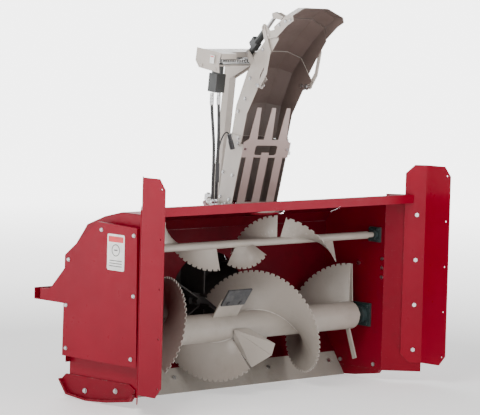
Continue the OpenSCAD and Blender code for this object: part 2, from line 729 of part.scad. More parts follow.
module upper_chute() color(pale) on_chute() difference() {
    union() {
        channel(upper_stations, chute_w, wall);
        // clevis for the actuator's foot, its plates let into the slanting facet
        side_sheet([[-176.8, 856], [-148, 819.4], [-118, 840], [-88, 876], [-78, 886],
            [-80, 902], [-96, 906]], act_x - 18.5, 6.5);
        side_sheet([[-159.8, 865.3], [-128.7, 825.7], [-116, 840], [-88, 876], [-78, 886],
            [-80, 902], [-96, 906]], act_x + 12, 6.5);
        // tabs for the feet of the links
        both_sides() tab([-262, 745], link_foot, 20, chute_w - wall, wall);
    }
    x_rod(8, act_x - 21, act_x + 21, act_foot[0], act_foot[1]);
    for (p = [defl_pivot, link_foot]) x_rod(6.3, -chute_w - 10, chute_w + 10, p[0], p[1]);
}

module latch_base() color(steel) on_chute() translate([chute_w + gap, -150, 0]) {
    translate([8, 0, 340]) cube([5, 32, 76]);
    translate([13, 2, 372]) cube([16, 5, 26]);
    translate([13, 25, 372]) cube([16, 5, 26]);
}

module latch_lever() color(steel) on_chute() translate([chute_w + gap, -150, 0]) {
    y_rod(4, 7.5, 24.5, 21, 385);
    translate([26, 9, 345]) rotate([0, 6, 0]) cube([5, 14, 48]);
    translate([22, 8, 326]) rotate([0, 6, 0]) cube([14, 16, 20]);
}

lower_defl_stations = [[-200, 878, 43, 120], [-300, 985, 56, 100], [-408, 1080, 70, 76]];
upper_defl_stations = [[-386.2, 1072.4, 62, 66], [-494, 1149, 64, 56], [-562, 1158, 62, 30]];
defl_w = chute_w + 7;
hood_w = chute_w + 14;

// Small round-ended tab in a fore-and-aft plane between two points, on the right
module tab(p, q, r, x, t) translate([x, 0, 0]) rotate([90, 0, 90]) linear_extrude(t)
    belt(p, r, q, r * 0.999);

module lower_deflector() color(pale) on_chute() {
    difference() {
        union() {
            channel(lower_defl_stations, defl_w, wall);
            both_sides() tab(defl_pivot, [-268, 850], 24, defl_w - wall, wall);
        }
        x_rod(6.3, -200, 200, defl_pivot[0], defl_pivot[1]);
        // slot in the rear edge that passes the actuator's clevis
        side_sheet([for (c = [[140, 50], [250, 40], [250, 74], [140, 80]])
            defl_pivot + c[0] * [cos(c[1]), sin(c[1])]], act_x - 27, 54);
    }
    // studs that carry the upper deflector
    both_sides() {
        x_rod(6, defl_w - 2, hood_w + 1.5, hood_pivot[0], hood_pivot[1]);
        x_rod(10, hood_w + gap, hood_w + 5, hood_pivot[0], hood_pivot[1]);
    }
}

module upper_deflector() color(pale) on_chute() {
    both_sides() x_rod(6, hood_w - 2, hood_w + 10, link_head[0], link_head[1]);
    x_rod(6, act_x - 19, act_x + 19, act_head[0], act_head[1]);
    difference() {
        union() {
            channel(upper_defl_stations, hood_w, wall);
            both_sides() tab(hood_pivot, link_head, 22, hood_w - wall, wall);
            both_sides() tab(hood_pivot, [-408, 1040], 22, hood_w - wall, wall);
            // ears for the actuator's head
            for (x = [act_x - 19, act_x + 12])
                side_sheet([act_head + [-74, -15], act_head + [-8, -16], act_head + [14, -6],
                    act_head + [14, 12], act_head + [-20, 20], act_head + [-104, 4]], x, 7);
        }
        x_rod(6.3, -200, 200, hood_pivot[0], hood_pivot[1]);
    }
}

module deflector_links() color(pale) on_chute() both_sides() difference() {
    // strip bent forward, clear of the deflector's side
    path = [link_foot, [-350, 815], [-366, 938], link_head];
    union() for (i = [0:2]) tab(path[i], path[i + 1], i == 1 ? 14.5 : 15, hood_w + 1, wall);
    x_rod(6.3, hood_w, hood_w + 10, link_foot[0], link_foot[1]);
    x_rod(9, hood_w, hood_w + 10, link_head[0], link_head[1]);
}

// Pivot pins fixed in the chute's side walls, and the lattice bolts
module pivot_bolts() color(steel) on_chute() {
    both_sides() {
        x_rod(6, chute_w - 6, defl_w + 2, defl_pivot[0], defl_pivot[1]);
        x_rod(11, chute_w - wall - 8, chute_w - wall - gap, defl_pivot[0], defl_pivot[1]);
        x_rod(6, chute_w - 6, hood_w + 7, link_foot[0], link_foot[1]);
        x_rod(11, chute_w - wall - 8, chute_w - wall - gap, link_foot[0], link_foot[1]);
        x_rod(11, hood_w + 6.3, hood_w + 12, link_foot[0], link_foot[1]);
    }
    x_rod(7.95, act_x - 25, act_x + 25, act_foot[0], act_foot[1]);
    lattice_plane() for (x = [-138, 138]) translate([x, -6.8, 350]) rotate([90, 0, 0])
        bolt(5, 0.1);
}

module along_actuator() translate([act_x, act_foot[0], act_foot[1]])
    rotate([act_dir, 0, 0]) children();

module actuator_body() color(dark) on_chute() along_actuator() difference() {
    union() {
        translate([-11.5, -13, -13]) cube([23, 60, 26]);
        translate([-17, 40, -38]) cube([34, 56, 58]);
        translate([0, 90, 0]) rotate([-90, 0, 0]) cylinder(r = 20, h = 116);
    }
    x_rod(8 + fit, -13, 13, 0, 0);
    translate([0, 92, 0]) rotate([-90, 0, 0]) cylinder(r = 11 + fit, h = 120);
}

module actuator_rod() color(steel) on_chute() along_actuator() difference() {
    union() {
        translate([0, 180, 0]) rotate([-90, 0, 0]) cylinder(r = 11, h = act_len - 192);
        translate([-10.5, act_len - 14, -13]) cube([21, 29, 26]);
    }
    x_rod(9.5, -12, 12, act_len, 0);
}

// ---- chute drive ----

motor_at = [-300, 0];
ring_n = 32;
pinion_n = 14;
drive_z = 842;
mast_at = [23, 235];

module drive_mast() color(pale) chute_frame() {
    difference() {
        translate([mast_at[0], mast_at[1], 8.2]) cube([50, 50, 803.8]);
        translate([mast_at[0] + 4, mast_at[1] + 4, 12]) cube([42, 42, 796]);
    }
    translate([mast_at[0] - 22, mast_at[1] - 4, 8.2]) cube([94, 76, 0.1 + 8]);
    // deck that carries the motor and the pivot pin
    difference() {
        plan_sheet([[-373.7, -50], [-255, -50], [-238, -30], [-90, -30], [-60, -60], [44, -60],
            [76, 40], [76, 288], [18, 288], [0, 100], [-373.7, 100]], 812, 8);
        translate([motor_at[0], motor_at[1], 811]) cylinder(r = 26, h = 10);
    }
    translate([0, 0, 819.9]) cylinder(r = 15, h = 34);
    // standoffs for the cover
    for (p = [[-200, 86], [56, 90]]) translate([p[0], p[1], 819.9]) cylinder(r = 8, h = 65.8);
    // sloping gusset under the deck
    side_sheet([[60, 811.8], [mast_at[1] - gap, 811.8], [mast_at[1] - gap, 700]],
        mast_at[0], 6);
    side_sheet([[60, 811.8], [mast_at[1] - gap, 811.8], [mast_at[1] - gap, 700]],
        mast_at[0] + 44, 6);
}

module drive_cover() color(pale) chute_frame() difference() {
    union() {
        plan_sheet([[-374, -98], [-262, -98], [-236, -24], [100, -24], [100, 103],
            [-374, 103]], 859, 30);
        side_sheet([[103, 898], [-95, 893], [-80, 838], [-92, 782], [73, 790], [106, 826]],
            -378, 4);
        for (p = [[-62, 800], [52, 806]])
            translate([-378, p[0], p[1]]) rotate([0, -90, 0]) cylinder(r = 9, h = 5, $fn = 6);
    }
    plan_sheet([[-374, -95], [-264.2, -95], [-238.2, -21], [101, -21], [101, 100],
        [-374, 100]], 858, 28);
}

module chute_motor() color(black) chute_frame() translate([motor_at[0], motor_at[1], 0]) {
    translate([-34, -32, 662]) cube([68, 64, 104]);
    translate([0, 0, 766]) cylinder(r = 33, h = 45.8);
    translate([0, 0, 811]) cylinder(r = 25, h = 12);
}

module motor_pinion() color(steel) chute_frame() translate([motor_at[0], motor_at[1], drive_z]) {
    sprocket(pinion_n, 12);
    translate([0, 0, -18]) cylinder(r = 12, h = 26);
    translate([0, 0, 4]) cylinder(r = 22, h = 6);
}

module chute_sprocket() color(steel) chute_frame() {
    translate([0, 0, drive_z]) sprocket(ring_n, 40);
    difference() {
        translate([0, 0, drive_z - 4]) cylinder(r = 40, h = 14);
        translate([0, 0, drive_z - 5]) cylinder(r = 15 + fit, h = 20);
    }
    // bracket to the back of the chute
    rotate([0, 0, turn]) difference() {
        translate([-40, -127.4, drive_z + 9.9]) cube([80, 165, 5]);
        translate([0, 0, drive_z + 5]) cylinder(r = 15 + fit, h = 20);
    }
}

module rotation_chain() color(dark) chute_frame() translate([0, 0, drive_z])
    chain([0, 0], ring_n, motor_at, pinion_n);

// ---- hoses and cable ----

hose_y = bend_y + 691;
hose_paths = [[[44, hose_y + 1, 1600], [44, hose_y, 1560], [46, hose_y - 3, 1500], [50, hose_y - 6, 1440],
    [55, hose_y - 8, 1380], [60, hose_y - 8, 1320], [63, hose_y - 6, 1250], [65, hose_y - 4, 1180],
    [65, hose_y - 2, 1100], [65, hose_y - 2, 1040], [65, hose_y - 2, 985]],
    [[96, hose_y + 1, 1600], [96, hose_y, 1560], [96, hose_y - 3, 1500], [95, hose_y - 6, 1440],
    [94, hose_y - 8, 1380], [93, hose_y - 8, 1320], [93, hose_y - 6, 1250], [93, hose_y - 4, 1180],
    [93, hose_y - 2, 1100], [93, hose_y - 2, 1040], [93, hose_y - 2, 985]]];
hose_r = 9;

module hydraulic_hoses() color(black) for (p = hose_paths) tube(p, hose_r, 10);

module hose_fittings() color(steel) for (p = hose_paths) {
    // swivel fittings under the motor, crimped ferrules, and bulkhead couplers below
    translate([p[0][0], p[0][1], 1600.2]) cylinder(r = 12, h = 17.4, $fn = 6);
    difference() {
        translate([p[9][0], p[9][1], 930]) cylinder(r = 15, h = 54.8);
        translate([p[9][0], p[9][1], 925]) cylinder(r = 6, h = 30);
    }
}

cable_path = [[79, hose_y - 22, 1230], [76, hose_y - 30, 1270], [74, hose_y - 36, 1310],
    [80, hose_y - 42, 1350], [92, hose_y - 46, 1378], [108, hose_y - 46, 1394],
    [124, hose_y - 44, 1398], [138, hose_y - 42, 1390]];

module control_cable() color(black) tube(cable_path, 4, 8);

module cable_connectors() color(black) {
    p = cable_path[7];
    translate(p + [3.5, 0, -3.5]) rotate([0, 160, 0]) {
        cylinder(r = 11, h = 34);
        translate([0, 0, 34]) cylinder(r = 14, h = 52);
    }
    translate([79, hose_y - 22, 1120]) cylinder(r = 11, h = 107);
}

left_side_plate();
right_side_plate();
top_hood();
back_sheet();
scraper_blade();
plate_bolts();
fan_housing();
discharge_neck();
chute_base_ring();
ring_clips();
fan_impeller();
gearbox();
pto_shaft();
cross_shaft();
primary_chain();
jackshaft();
auger_chains();
chain_tensioner();
chain_guard();
flange_bearings();
main_auger_tube();
main_flight_left();
main_flight_right();
kick_paddles();
paddle_tips();
splitter_paddle();
sweeper_bars();
main_auger_sprockets();
upper_auger_tube();
upper_flights();
upper_auger_sprocket();
left_drift_cutter();
right_drift_cutter();
left_skid_shoe();
right_skid_shoe();
rear_frame();
hitch_frame();
hitch_pins();
chute_turntable();
lower_chute();
chute_lattice();
upper_chute();
latch_base();
latch_lever();
lower_deflector();
upper_deflector();
deflector_links();
pivot_bolts();
actuator_body();
actuator_rod();
drive_mast();
drive_cover();
chute_motor();
motor_pinion();
chute_sprocket();
rotation_chain();
hydraulic_hoses();
hose_fittings();
control_cable();
cable_connectors();
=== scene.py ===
"""Two stage snowblower: materials, small fittings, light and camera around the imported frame."""
import json
import math

import bmesh
import bpy
from mathutils import Matrix, Vector


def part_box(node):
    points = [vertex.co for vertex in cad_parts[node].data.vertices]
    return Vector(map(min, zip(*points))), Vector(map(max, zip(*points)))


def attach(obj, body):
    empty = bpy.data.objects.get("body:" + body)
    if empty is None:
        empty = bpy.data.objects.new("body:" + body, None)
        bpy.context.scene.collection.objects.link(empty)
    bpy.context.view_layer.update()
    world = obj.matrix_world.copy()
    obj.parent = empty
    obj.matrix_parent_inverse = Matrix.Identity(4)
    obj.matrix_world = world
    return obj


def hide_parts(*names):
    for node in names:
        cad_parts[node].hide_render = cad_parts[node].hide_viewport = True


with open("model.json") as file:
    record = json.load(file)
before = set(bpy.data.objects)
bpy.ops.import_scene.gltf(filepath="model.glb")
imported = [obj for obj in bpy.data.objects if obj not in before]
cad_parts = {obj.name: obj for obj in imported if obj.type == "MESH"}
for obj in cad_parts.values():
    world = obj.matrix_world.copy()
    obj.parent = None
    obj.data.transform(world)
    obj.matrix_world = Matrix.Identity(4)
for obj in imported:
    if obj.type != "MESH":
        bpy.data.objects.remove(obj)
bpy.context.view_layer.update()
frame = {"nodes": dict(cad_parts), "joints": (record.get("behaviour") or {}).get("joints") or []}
nodes = frame["nodes"]
joints = {j["name"]: j for j in frame["joints"]}
joint_at = {name: Vector(j["pos_m"]) for name, j in joints.items() if "pos_m" in j}
auger = joint_at["auger_spin"]
upper = joint_at["upper_auger_spin"]

# the two large flights: start along the shaft in mm, start and end angle in degrees, lead in mm a turn
LEFT_FLIGHT = (-812, 234, 584, 666)
RIGHT_FLIGHT = (804, 0, 425, -735)


# ---------------------------------------------------------------- camera

LENS_MM = 210.6
SENSOR_MM = 36.0
CAMERA_AT = (-10.6204, -11.1074, 2.2863)
HEADING, PITCH, ROLL = (math.radians(a) for a in (43.95, 4.79, 1.50))

cam_data = bpy.data.cameras.new("camera")
cam_data.lens = LENS_MM
cam_data.sensor_width = SENSOR_MM
cam_data.sensor_fit = "HORIZONTAL"
cam_data.clip_end = 500.0
camera = bpy.data.objects.new("camera", cam_data)
bpy.context.scene.collection.objects.link(camera)
forward = Vector((math.sin(HEADING) * math.cos(PITCH), math.cos(HEADING) * math.cos(PITCH),
                  -math.sin(PITCH)))
level = Vector((math.cos(HEADING), -math.sin(HEADING), 0.0))
upward = level.cross(forward)
right = level * math.cos(ROLL) + upward * math.sin(ROLL)
upward = upward * math.cos(ROLL) - level * math.sin(ROLL)
turn = Matrix((right, upward, -forward)).transposed().to_4x4()
camera.matrix_world = Matrix.Translation(CAMERA_AT) @ turn
bpy.context.scene.camera = camera


# ---------------------------------------------------------------- materials

class Nodes:
    """Short hand for building one material's node tree."""

    def __init__(self, name):
        self.mat = bpy.data.materials.new(name)
        self.mat.use_nodes = True
        self.tree = self.mat.node_tree
        self.tree.nodes.clear()
        self.out = self.add("ShaderNodeOutputMaterial")
        self.bsdf = self.add("ShaderNodeBsdfPrincipled")
        self.link(self.bsdf.outputs[0], self.out.inputs["Surface"])
        self.coord = self.add("ShaderNodeTexCoord").outputs["Object"]

    def add(self, kind, **props):
        node = self.tree.nodes.new(kind)
        for key, value in props.items():
            setattr(node, key, value)
        return node

    def link(self, a, b):
        self.tree.links.new(a, b)

    def noise(self, scale, detail=3.0, stretch=None, rough=0.55):
        node = self.add("ShaderNodeTexNoise")
        node.inputs["Scale"].default_value = scale
        node.inputs["Detail"].default_value = detail
        node.inputs["Roughness"].default_value = rough
        source = self.coord
        if stretch:
            mapping = self.add("ShaderNodeMapping")
            mapping.inputs["Scale"].default_value = stretch
            self.link(self.coord, mapping.inputs["Vector"])
            source = mapping.outputs[0]
        self.link(source, node.inputs["Vector"])
        return node.outputs["Fac"]

    def ramp(self, value, low, high, out_low=0.0, out_high=1.0):
        node = self.add("ShaderNodeMapRange")
        node.clamp = True
        for key, number in (("From Min", low), ("From Max", high), ("To Min", out_low),
                            ("To Max", out_high)):
            node.inputs[key].default_value = number
        self.link(value, node.inputs["Value"])
        return node.outputs[0]

    def times(self, a, b):
        node = self.add("ShaderNodeMath", operation="MULTIPLY")
        self.link(a, node.inputs[0])
        self.link(b, node.inputs[1])
        return node.outputs[0]

    def most(self, a, b):
        node = self.add("ShaderNodeMath", operation="MAXIMUM")
        self.link(a, node.inputs[0])
        self.link(b, node.inputs[1])
        return node.outputs[0]

    def mix(self, factor, a, b):
        node = self.add("ShaderNodeMix", data_type="RGBA")
        self.link(factor, node.inputs["Factor"])
        for socket, value in ((node.inputs["A"], a), (node.inputs["B"], b)):
            if isinstance(value, tuple):
                socket.default_value = (*value, 1.0)
            else:
                self.link(value, socket)
        return node.outputs["Result"]

    def edge(self, radius):
        """1 on sharp edges, 0 on flat metal."""
        bevel = self.add("ShaderNodeBevel", samples=4)
        bevel.inputs["Radius"].default_value = radius
        geometry = self.add("ShaderNodeNewGeometry")
        dot = self.add("ShaderNodeVectorMath", operation="DOT_PRODUCT")
        self.link(bevel.outputs[0], dot.inputs[0])
        self.link(geometry.outputs["Normal"], dot.inputs[1])
        return self.ramp(dot.outputs["Value"], 0.985, 0.86)

    def bump(self, height, strength, distance):
        node = self.add("ShaderNodeBump")
        node.inputs["Strength"].default_value = strength
        node.inputs["Distance"].default_value = distance
        self.link(height, node.inputs["Height"])
        self.link(node.outputs[0], self.bsdf.inputs["Normal"])

    def finish(self, color=None, rough=None, **fixed):
        if color is not None:
            self.link(color, self.bsdf.inputs["Base Color"])
        if rough is not None:
            self.link(rough, self.bsdf.inputs["Roughness"])
        for key, value in fixed.items():
            self.bsdf.inputs[key.replace("_", " ")].default_value = value
        return self.mat


def shade(color, k):
    return tuple(min(1.0, c * k) for c in color)


# heights over which the painted light on a coat's lower part fades out
FADE_HEIGHTS = (1.28, 1.55)


def paint(name, color, bare, rough, wear=0.5, grime=0.3, grime_color=(0.10, 0.085, 0.07), coat=0.25,
          gloss=0.35, low=None):
    """Powder coat: slow tone drift, orange peel, scuffs, chipped edges and settled grime.

    low is the tone of the coat's lower part, fading out over FADE_HEIGHTS; it is painted light, lighter
    than the rest of the coat.
    """
    n = Nodes(name)
    drift = n.ramp(n.noise(2.6, 4.0), 0.3, 0.7)
    body = n.mix(drift, shade(color, 0.90), shade(color, 1.07))
    blotch = n.ramp(n.noise(9.0, 6.0, rough=0.7), 0.52, 0.78, 0.0, grime)
    body = n.mix(blotch, body, grime_color)
    # painted light: the lower part blends into the lighter tone low
    if low:
        height = n.add("ShaderNodeSeparateXYZ")
        n.link(n.coord, height.inputs[0])
        body = n.mix(n.ramp(height.outputs["Z"], *FADE_HEIGHTS), low, body)
    chips = n.times(n.edge(0.0035), n.ramp(n.noise(55.0, 5.0, rough=0.75), 0.50, 0.64, 0.0, wear))
    scuff = n.ramp(n.noise(38.0, 4.0, (1.0, 1.0, 9.0)), 0.68, 0.78, 0.0, wear * 0.35)
    body = n.mix(n.most(chips, scuff), body, bare)
    peel = n.noise(520.0, 2.0)
    n.bump(peel, 0.10, 0.0006)
    return n.finish(body,
                    n.ramp(n.noise(24.0, 5.0), 0.3, 0.75, rough - 0.06, rough + 0.13),
                    Coat_Weight=coat, Coat_Roughness=0.22, Specular_IOR_Level=gloss)


def metal(name, color, rough, stain, stretch=(1.0, 1.0, 14.0), scale=90.0, depth=0.12, metallic=1.0):
    """Bare or plated steel with a brushed grain, stains and brighter edges."""
    n = Nodes(name)
    grain = n.noise(scale, 4.0, stretch)
    body = n.mix(n.ramp(grain, 0.3, 0.7), shade(color, 0.82), shade(color, 1.08))
    body = n.mix(n.ramp(n.noise(14.0, 6.0, rough=0.7), 0.5, 0.75, 0.0, 0.75), body, stain)
    bright_edge = n.times(n.edge(0.0018), n.ramp(n.noise(70.0), 0.35, 0.6, 0.0, 0.7))
    body = n.mix(bright_edge, body, shade(color, 1.25))
    n.bump(grain, depth, 0.0006)
    return n.finish(body, n.ramp(n.noise(30.0, 4.0), 0.3, 0.7, rough - 0.08, rough + 0.14),
                    Metallic=metallic)


def rubber(name, color, pitch_m):
    """Wrapped hose cover: fine diagonal braid, dusty high spots."""
    n = Nodes(name)
    wave = n.add("ShaderNodeTexWave", wave_type="BANDS", bands_direction="DIAGONAL")
    wave.inputs["Scale"].default_value = 1.0 / pitch_m
    wave.inputs["Distortion"].default_value = 1.5
    n.link(n.coord, wave.inputs["Vector"])
    body = n.mix(n.ramp(n.noise(60.0, 5.0), 0.4, 0.8), color, shade(color, 3.2))
    n.bump(wave.outputs["Fac"], 0.35, 0.0007)
    return n.finish(body, n.ramp(n.noise(40.0), 0.3, 0.7, 0.48, 0.72))


def plastic(name, color, rough):
    n = Nodes(name)
    body = n.mix(n.ramp(n.noise(18.0, 4.0), 0.3, 0.8), shade(color, 0.85), shade(color, 1.35))
    n.bump(n.noise(700.0, 2.0), 0.12, 0.0004)
    return n.finish(body, n.ramp(n.noise(25.0), 0.3, 0.7, rough - 0.08, rough + 0.12))


RED = (0.220, 0.0004, 0.013)
PALE = (0.30, 0.265, 0.230)
CHUTE = (0.42, 0.375, 0.335)
PINK = (0.34, 0.265, 0.245)
STEEL = (0.60, 0.60, 0.61)

red_paint = paint("red_paint", RED, (0.30, 0.10, 0.09), 0.33, wear=0.35, grime=0.10,
                  grime_color=(0.10, 0.004, 0.006), coat=0.03, gloss=0.12)
# darker worn red: real wear on the skid shoes, and painted shade on the side plates' inner faces
worn_and_shaded_red = paint("worn_and_shaded_red", shade(RED, 0.80), (0.36, 0.30, 0.28), 0.42, wear=0.7, grime=0.35,
                 grime_color=(0.07, 0.01, 0.01), coat=0.0, gloss=0.12)
auger_paint = paint("auger_paint", PALE, (0.46, 0.43, 0.41), 0.45, wear=0.8, grime=0.22)
chute_paint = paint("chute_paint", CHUTE, (0.50, 0.48, 0.46), 0.40, wear=0.5, grime=0.14)
lattice_paint = paint("lattice_paint", PINK, (0.55, 0.52, 0.50), 0.40, wear=0.5, grime=0.16)
# dark red that paints shade on the back sheet, the fan housing and the hood's underside
red_painted_shade = paint("red_painted_shade", shade(RED, 0.42), (0.16, 0.10, 0.09), 0.46, wear=0.5, grime=0.4,
                  grime_color=(0.02, 0.003, 0.004), coat=0.0, gloss=0.08)
# near black fan: painted shade of the housing's dark inside
fan_painted_shade = paint("fan_painted_shade", (0.040, 0.034, 0.032), (0.20, 0.19, 0.18), 0.50, wear=0.6, grime=0.4,
                  coat=0.0)
# dark brown inside of the chute: painted shade, and a lighter lower part that is painted light
chute_inner_painted_shade = paint("chute_inner_painted_shade", (0.105, 0.076, 0.066), (0.22, 0.19, 0.17), 0.44, wear=0.45, grime=0.35,
                    grime_color=(0.05, 0.036, 0.030), coat=0.1, low=(0.185, 0.155, 0.138))
scraper_paint = paint("scraper_paint", (0.30, 0.27, 0.235), (0.42, 0.40, 0.38), 0.50, wear=0.9, grime=0.35)
black_paint = paint("black_paint", (0.022, 0.024, 0.024), (0.20, 0.20, 0.20), 0.38, wear=0.6, grime=0.25,
                    grime_color=(0.07, 0.065, 0.06))
bearing_paint = paint("bearing_paint", (0.020, 0.034, 0.034), (0.22, 0.22, 0.21), 0.42, wear=0.6, grime=0.3)
zinc = metal("zinc", STEEL, 0.30, (0.30, 0.29, 0.27))
machined = metal("machined", (0.56, 0.56, 0.57), 0.26, (0.20, 0.17, 0.14), (9.0, 1.0, 1.0))
chain_steel = metal("chain_steel", (0.17, 0.165, 0.16), 0.36, (0.05, 0.04, 0.03), (1.0, 1.0, 1.0), 120.0)
tip_steel = metal("tip_steel", (0.045, 0.045, 0.048), 0.58, (0.10, 0.095, 0.09), (1.0, 8.0, 1.0), 60.0,
                  metallic=0.3)
weld_metal = metal("weld_metal", (0.50, 0.46, 0.42), 0.50, (0.26, 0.22, 0.19), (1.0, 1.0, 1.0), 220.0,
                   depth=0.5, metallic=0.3)
hose_rubber = rubber("hose_rubber", (0.018, 0.018, 0.019), 0.0045)
black_plastic = plastic("black_plastic", (0.025, 0.025, 0.027), 0.42)
label_white = plastic("label_white", (0.74, 0.74, 0.72), 0.35)
label_red = plastic("label_red", (0.60, 0.02, 0.03), 0.35)
label_ink = plastic("label_ink", (0.06, 0.06, 0.06), 0.40)
label_yellow = plastic("label_yellow", (0.75, 0.50, 0.05), 0.35)

NODE_MATERIAL = {
    red_paint: ["left_side_plate", "right_side_plate", "top_hood", "discharge_neck",
                "chute_base_ring", "chain_guard", "left_drift_cutter", "right_drift_cutter",
                "rear_frame", "hitch_frame"],
    worn_and_shaded_red: ["left_skid_shoe", "right_skid_shoe"],
    # painted shade: the housing's inside is given a darker red
    red_painted_shade: ["back_sheet", "fan_housing"],
    # painted shade: the fan is made near black
    fan_painted_shade: ["fan_impeller"],
    auger_paint: ["main_auger_tube", "main_flight_left", "main_flight_right", "kick_paddles",
                  "splitter_paddle", "sweeper_bars", "upper_auger_tube", "upper_flights"],
    chute_paint: ["chute_turntable", "lower_chute", "upper_chute", "lower_deflector", "upper_deflector",
                  "deflector_links", "drive_mast", "drive_cover"],
    lattice_paint: ["chute_lattice"],
    scraper_paint: ["scraper_blade"],
    black_paint: ["gearbox", "chute_motor", "actuator_body"],
    bearing_paint: ["flange_bearings"],
    zinc: ["plate_bolts", "ring_clips", "pivot_bolts", "latch_base", "latch_lever", "hose_fittings",
           "hitch_pins", "chain_tensioner", "actuator_rod"],
    machined: ["pto_shaft", "cross_shaft", "jackshaft", "main_auger_sprockets", "upper_auger_sprocket",
               "motor_pinion", "chute_sprocket"],
    tip_steel: ["paddle_tips"],
    chain_steel: ["primary_chain", "auger_chains", "rotation_chain"],
    hose_rubber: ["hydraulic_hoses", "control_cable"],
    black_plastic: ["cable_connectors"],
}

CREASE, FITTING_CREASE = math.radians(28.0), math.radians(35.0)
EDGE_WIDTH, EDGE_ANGLE = 0.0009, math.radians(40.0)
SOFT_EDGE = ["left_side_plate", "right_side_plate", "top_hood", "chain_guard", "left_drift_cutter",
             "right_drift_cutter", "rear_frame", "hitch_frame", "drive_mast", "drive_cover",
             "chute_motor", "gearbox", "lower_chute", "upper_chute", "chute_lattice", "kick_paddles",
             "paddle_tips", "splitter_paddle", "sweeper_bars", "left_skid_shoe", "right_skid_shoe",
             "ring_clips", "latch_base", "latch_lever", "actuator_body", "actuator_rod",
             "deflector_links"]

for material, names in NODE_MATERIAL.items():
    for name in names:
        mesh = nodes[name].data
        mesh.materials.clear()
        mesh.materials.append(material)
        for face in mesh.polygons:
            face.use_smooth = True
            face.material_index = 0
        mesh.set_sharp_from_angle(angle=CREASE)

# frame of the chute: its axis, and its own left-right and rearward directions
chute_origin = joint_at["chute_turn"]
chute_up = Vector(joints["chute_turn"]["axis"]).normalized()
chute_x = Vector(joints["lower_deflector_tilt"]["axis"]).normalized()
chute_y = chute_up.cross(chute_x)

# the inner side of the chute is darker than its outside: painted shade, with painted light on its lower
# part
INNER_HALF = {"lower_chute": 0.151, "upper_chute": 0.151, "lower_deflector": 0.158,
              "upper_deflector": 0.165}
for name, half_width in INNER_HALF.items():
    mesh = nodes[name].data
    mesh.materials.append(chute_inner_painted_shade)
    for face in mesh.polygons:
        spread = [(mesh.vertices[v].co - chute_origin).dot(chute_x) for v in face.vertices]
        across = face.normal.dot(chute_x)
        lean = face.normal.dot(chute_y) + face.normal.dot(chute_up)
        middle = sum(spread) / len(spread)
        faces_in = lean < -0.3 or across * middle < -0.5 * abs(middle)
        if faces_in and max(abs(v) for v in spread) < half_width:
            face.material_index = 1

# the housing's inner faces are duller and darker than its outside; the darkness is painted shade
for name, outward in (("left_side_plate", Vector((-1, 0, 0))), ("right_side_plate", Vector((1, 0, 0))),
                      ("top_hood", Vector((0, 0, 1)))):
    mesh = nodes[name].data
    mesh.materials.append(red_painted_shade if name == "top_hood" else worn_and_shaded_red)
    for face in mesh.polygons:
        if face.normal.dot(outward) < -0.4:
            face.material_index = 1


# screw surfaces get the shading of a true helicoid
def helicoid_normal(p, lead):
    """Normal of a screw surface at a point given from its axis."""
    r = math.hypot(p.y, p.z)
    outward, along = Vector((0.0, p.y / r, p.z / r)), Vector((lead / (2 * math.pi), p.z, -p.y))
    return outward.cross(along).normalized()


def shade_flight(name, axis, lead_at):
    """Smooth normals on a flight's two broad sides; lead_at gives the lead in metres at a point."""
    mesh = nodes[name].data
    normals = [None] * len(mesh.loops)
    for face in mesh.polygons:
        lead = lead_at(face.center - axis)
        match = helicoid_normal(face.center - axis, lead).dot(face.normal)
        side = 1.0 if match > 0 else -1.0
        for loop in face.loop_indices:
            p = mesh.vertices[mesh.loops[loop].vertex_index].co - axis
            broad = abs(match) > 0.8
            normals[loop] = helicoid_normal(p, lead) * side if broad else face.normal.copy()
    mesh.normals_split_custom_set(normals)


def upper_lead(p):
    """Leads of the four upper flights, told apart by where they are on the shaft."""
    if p.x < -0.3:
        return 0.685
    if p.x < -0.105 or (p.x < -0.06 and p.y < 0.0):
        return 0.372
    return -0.685 if p.x < 0.14 else -1.020


shade_flight("main_flight_left", auger, lambda p: LEFT_FLIGHT[3] / 1000)
shade_flight("main_flight_right", auger, lambda p: RIGHT_FLIGHT[3] / 1000)
shade_flight("upper_flights", upper, upper_lead)

for name in SOFT_EDGE:
    bevel = nodes[name].modifiers.new("rounded_edges", "BEVEL")
    bevel.width = EDGE_WIDTH
    bevel.segments = 2
    bevel.limit_method = "ANGLE"
    bevel.angle_limit = EDGE_ANGLE
    bevel.use_clamp_overlap = True


# ---------------------------------------------------------------- new pieces

def piece(name, build, body, material):
    """Makes a mesh object with build(bm) and lets it ride on a body."""
    bm = bmesh.new()
    build(bm)
    mesh = bpy.data.meshes.new(name)
    bmesh.ops.recalc_face_normals(bm, faces=bm.faces)
    bm.to_mesh(mesh)
    bm.free()
    obj = bpy.data.objects.new(name, mesh)
    bpy.context.scene.collection.objects.link(obj)
    mesh.materials.append(material)
    for face in mesh.polygons:
        face.use_smooth = True
    mesh.set_sharp_from_angle(angle=FITTING_CREASE)
    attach(obj, body)
    return obj


def basis(origin, axis):
    """Matrix whose Z is the given axis."""
    z = Vector(axis).normalized()
    x = Vector((0.0, 0.0, 1.0)).cross(z)
    if x.length < 1e-4:
        x = Vector((1.0, 0.0, 0.0))
    x.normalize()
    y = z.cross(x)
    return Matrix.Translation(origin) @ Matrix((x, y, z)).transposed().to_4x4()


def disc(bm, matrix, profile, sides):
    """Closed turned shape from [radius, height] pairs."""
    rings = []
    for radius, height in profile:
        turns = [2 * math.pi * i / sides for i in range(sides)]
        rings.append([bm.verts.new(matrix @ Vector((radius * math.cos(a), radius * math.sin(a), height)))
                      for a in turns])
    for low, high in zip(rings, rings[1:]):
        for i in range(sides):
            bm.faces.new((low[i], low[(i + 1) % sides], high[(i + 1) % sides], high[i]))
    bm.faces.new(rings[0][::-1])
    bm.faces.new(rings[-1])


SEAT_GAP = 0.0001


